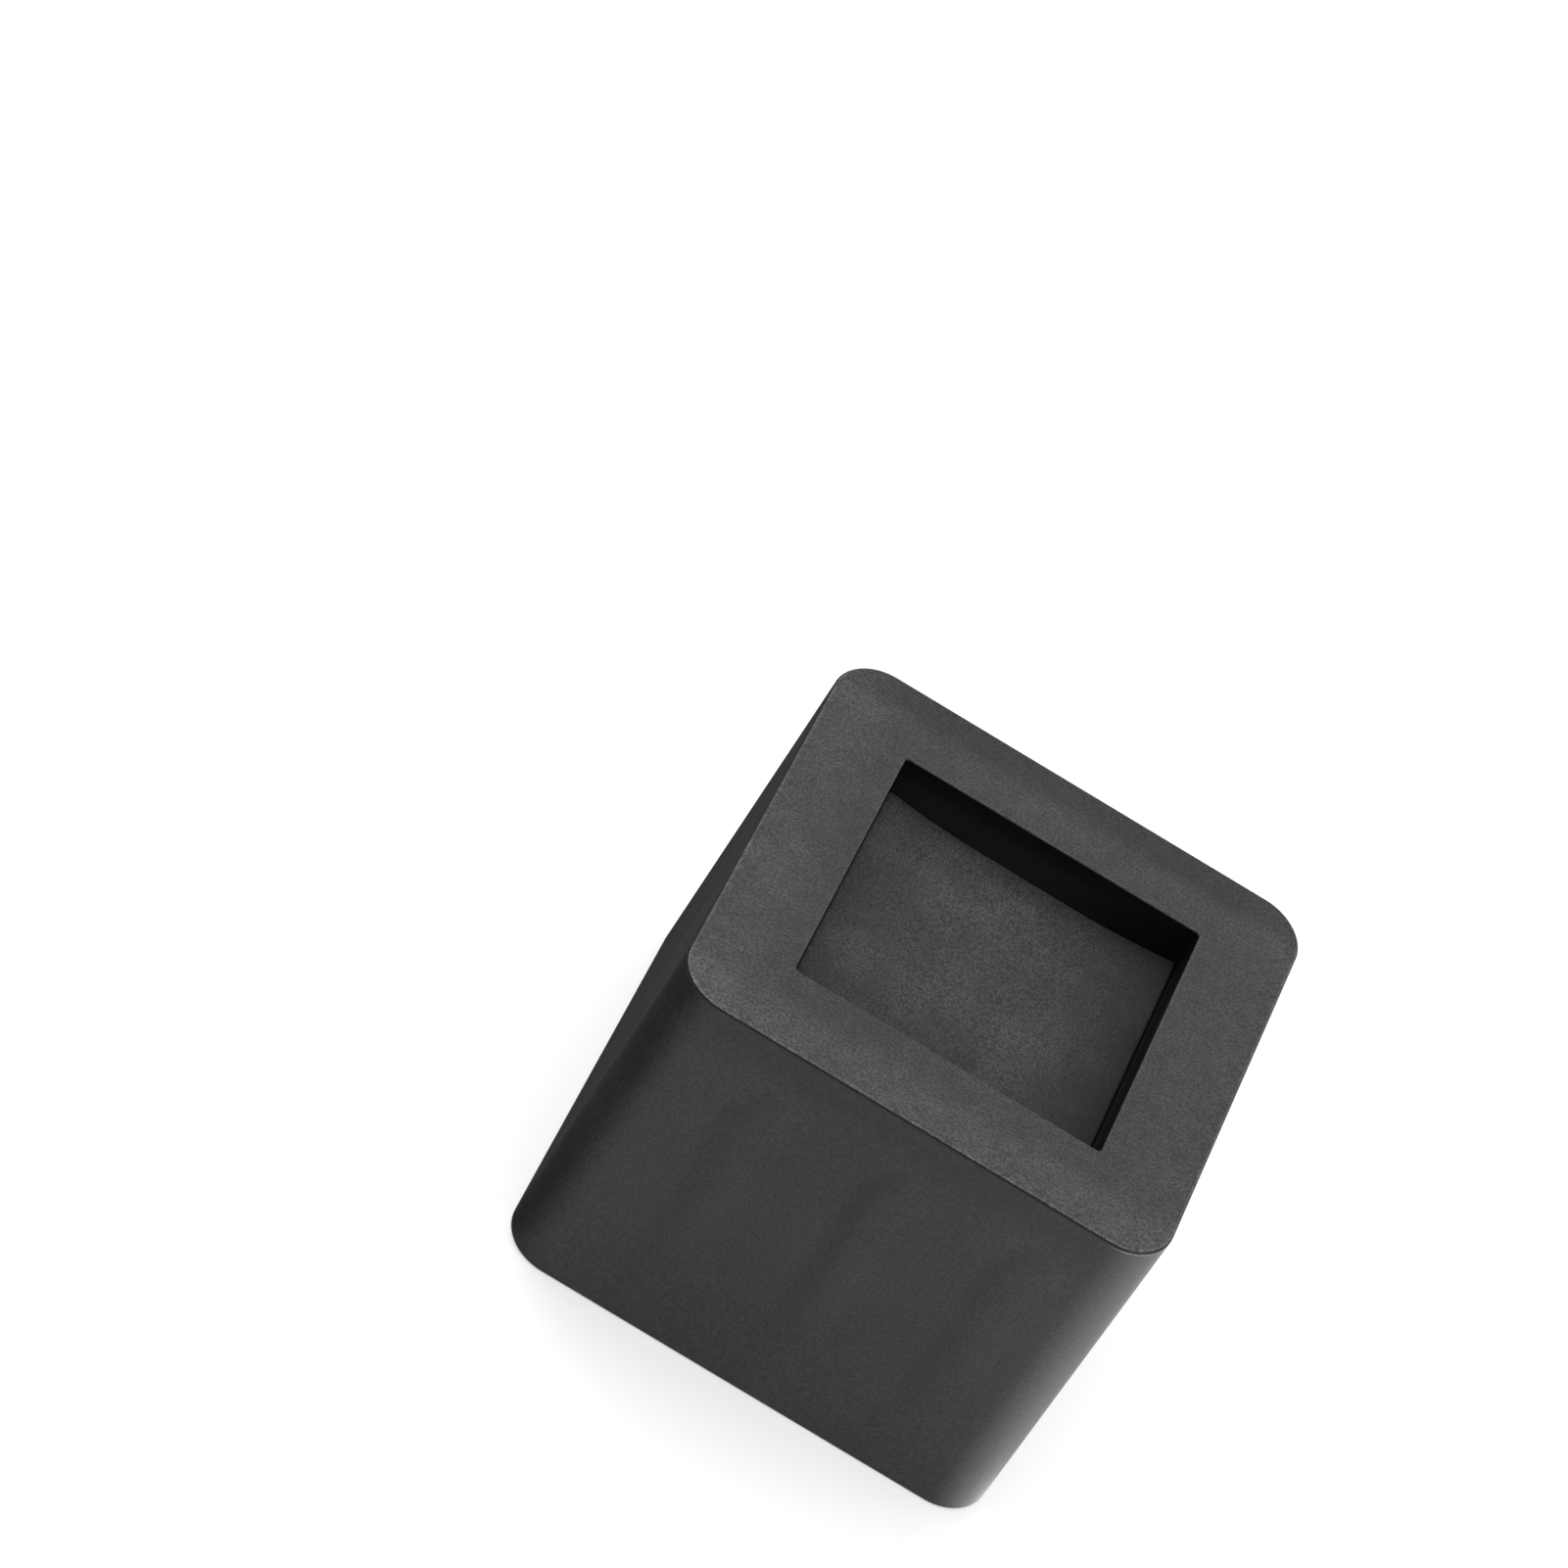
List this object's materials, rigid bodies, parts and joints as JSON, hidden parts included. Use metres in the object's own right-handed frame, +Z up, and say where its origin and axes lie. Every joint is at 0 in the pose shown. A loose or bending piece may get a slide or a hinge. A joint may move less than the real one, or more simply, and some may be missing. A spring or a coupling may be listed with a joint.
{
  "type": "bed riser",
  "caption": "Low square moulded riser with rounded corners and a square recess in its top, lined with a thin foam pad, that lifts a furniture leg off the floor.",
  "frame": {"origin": "centre of the base, on the floor plane", "axes": "+Z up out of the recess, -Y out of the face that is turned towards the viewer, +X to that face's right"},
  "size_m": [0.1016, 0.1016, 0.0815],
  "materials": {
    "body_plastic": "black, fine leather grain on the top, smoother and matt on the sides",
    "pad_foam": "black closed cell foam sheet with a dull, faintly cloudy skin"
  },
  "bodies": {
    "root": {"riser_body": "body_plastic", "recess_pad": "pad_foam"}
  },
  "joints": []
}
